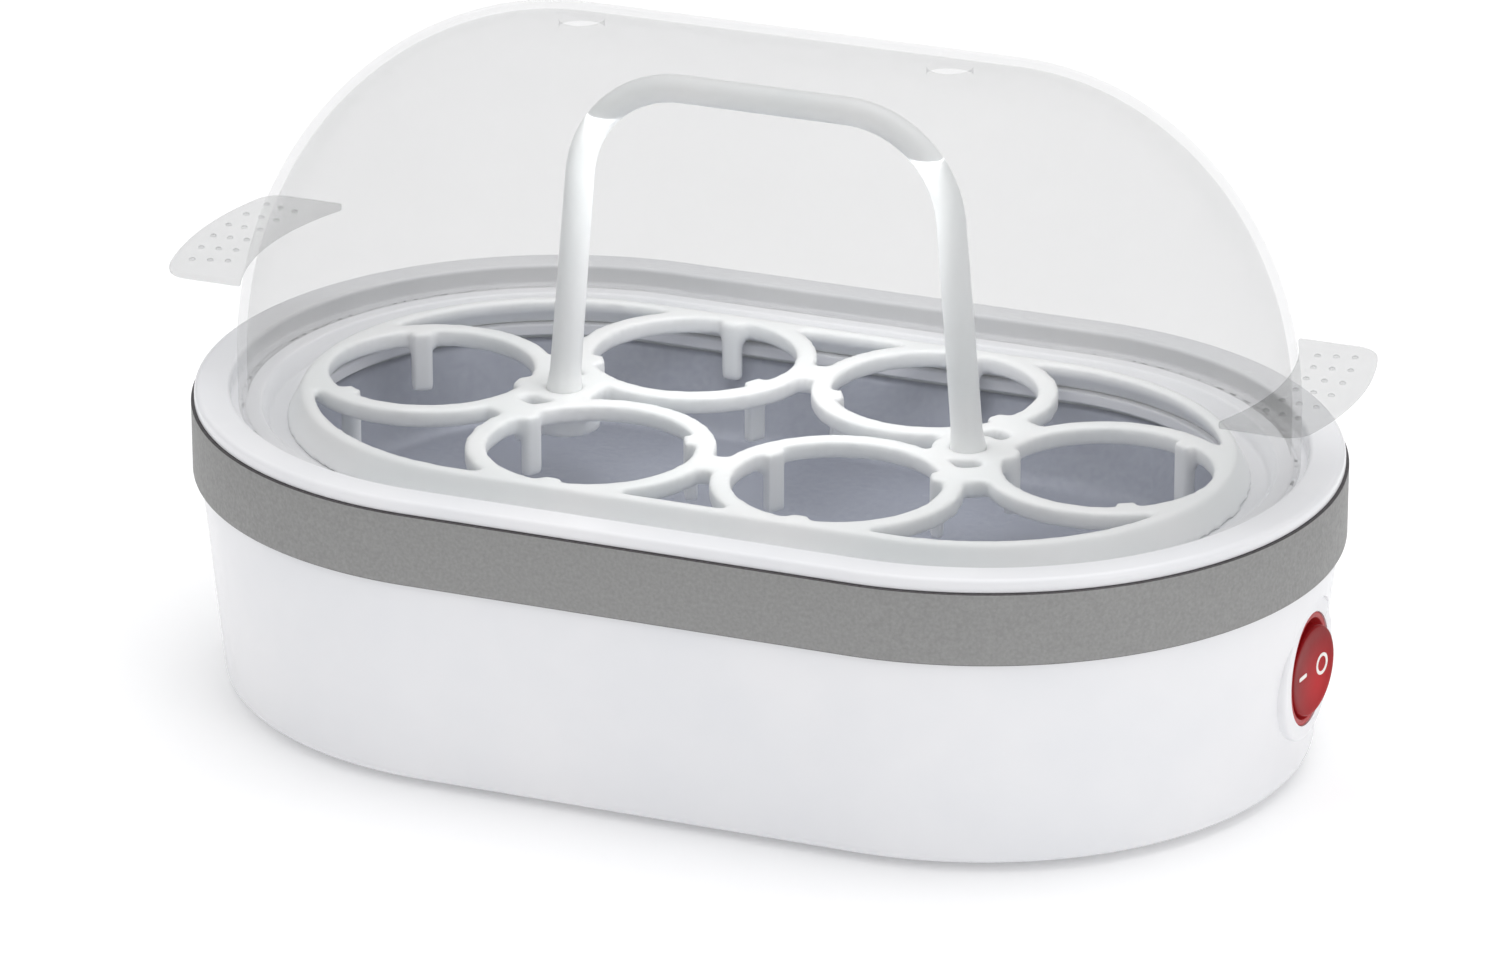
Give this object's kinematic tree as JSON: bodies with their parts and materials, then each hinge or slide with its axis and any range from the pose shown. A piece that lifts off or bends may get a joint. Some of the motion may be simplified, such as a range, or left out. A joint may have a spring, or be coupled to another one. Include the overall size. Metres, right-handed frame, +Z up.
{
  "type": "egg cooker",
  "caption": "Oval electric egg cooker with a heated water dish, a lift-out egg tray with a hoop handle, a clear domed lid with two grips and a round rocker switch",
  "frame": {"origin": "on the standing surface, under the middle of the object", "axes": "+X along the length towards the switch, +Y towards the back where the cord gland is, +Z up"},
  "size_m": [0.2292, 0.135, 0.13],
  "materials": {
    "abs_white": "gloss moulded ABS",
    "satin_silver": "satin silver",
    "steel_plate": "fine satin stainless steel",
    "silicone": "matt silicone",
    "zinc_steel": "zinc plated steel",
    "aluminium": "as rolled",
    "element_steel": "oxidised steel sheath",
    "ceramic": "unglazed",
    "brass": "plain",
    "phenolic": "moulded phenolic",
    "fibreglass": "braided sleeve",
    "black_rubber": "matt",
    "pa_white": "moulded nylon",
    "pvc_brown": "wire insulation",
    "pvc_black": "wire insulation",
    "silicone_red": "heat-proof wire insulation",
    "pvc_blue": "wire insulation",
    "pvc_earth": "wire insulation",
    "neon_glass": "small glass bulb",
    "pc_red": "translucent polycarbonate",
    "mark_white": "printed",
    "spring_steel": "drawn wire",
    "copper": "plain copper alloy",
    "pp_milky": "milky polypropylene",
    "ps_clear": "clear moulded plastic"
  },
  "bodies": {
    "base": {"base_housing": "abs_white", "bottom_plate": "abs_white", "bottom_screws": "zinc_steel", "rubber_feet": "black_rubber", "trim_band": "satin_silver", "top_collar": "abs_white", "collar_screws": "zinc_steel", "heating_plate": "steel_plate", "plate_seal": "silicone", "plate_retainer": "zinc_steel", "retainer_screws": "zinc_steel", "heat_spreader": "aluminium", "heating_element": "element_steel", "element_insulators": "ceramic", "element_terminals": "zinc_steel", "thermostat": "phenolic", "thermostat_strap": "zinc_steel", "strap_screws": "zinc_steel", "thermal_fuse": "zinc_steel", "fuse_sleeve": "fibreglass", "fuse_clip": "zinc_steel", "clip_screw": "zinc_steel", "earth_tag": "brass", "earth_screw": "zinc_steel", "cord_gland": "pa_white", "gland_nut": "pa_white", "cord_clamp": "pa_white", "clamp_screws": "zinc_steel", "terminal_block": "ceramic", "live_lead": "pvc_brown", "switched_lead": "pvc_black", "fuse_lead": "silicone_red", "element_lead": "silicone_red", "neutral_lead": "pvc_blue", "earth_lead": "pvc_earth", "switch_housing": "pa_white", "switch_terminals": "brass", "neon_lamp": "neon_glass"},
    "rocker": {"switch_rocker": "pc_red", "rocker_marks": "mark_white", "rocker_spring": "spring_steel", "rocker_plunger": "brass"},
    "contact_blade": {"contact_blade": "copper"},
    "rack": {"egg_tray": "pp_milky", "tray_handle": "pp_milky"},
    "lid": {"lid": "ps_clear"}
  },
  "joints": [
    {"name": "tray_lift", "type": "slide", "parent": "base", "child": "rack", "axis": [0, 0, 1], "range_m": [0, 0.1]},
    {"name": "lid_lift", "type": "slide", "parent": "rack", "child": "lid", "axis": [0, 0, 1], "range_m": [0, 0.12]},
    {"name": "rocker_tilt", "type": "hinge", "parent": "base", "child": "rocker", "pos_m": [0.10289, 0, 0.0235], "axis": [0, 0, 1], "range_deg": [0, 16]},
    {"name": "blade_tilt", "type": "hinge", "parent": "base", "child": "contact_blade", "pos_m": [0.09199, 0, 0.0235], "axis": [0, 0, 1], "range_deg": [-10, 0]}
  ],
  "couplings": [
    {"joint": "blade_tilt", "follows": "rocker_tilt", "ratio": -0.625}
  ]
}
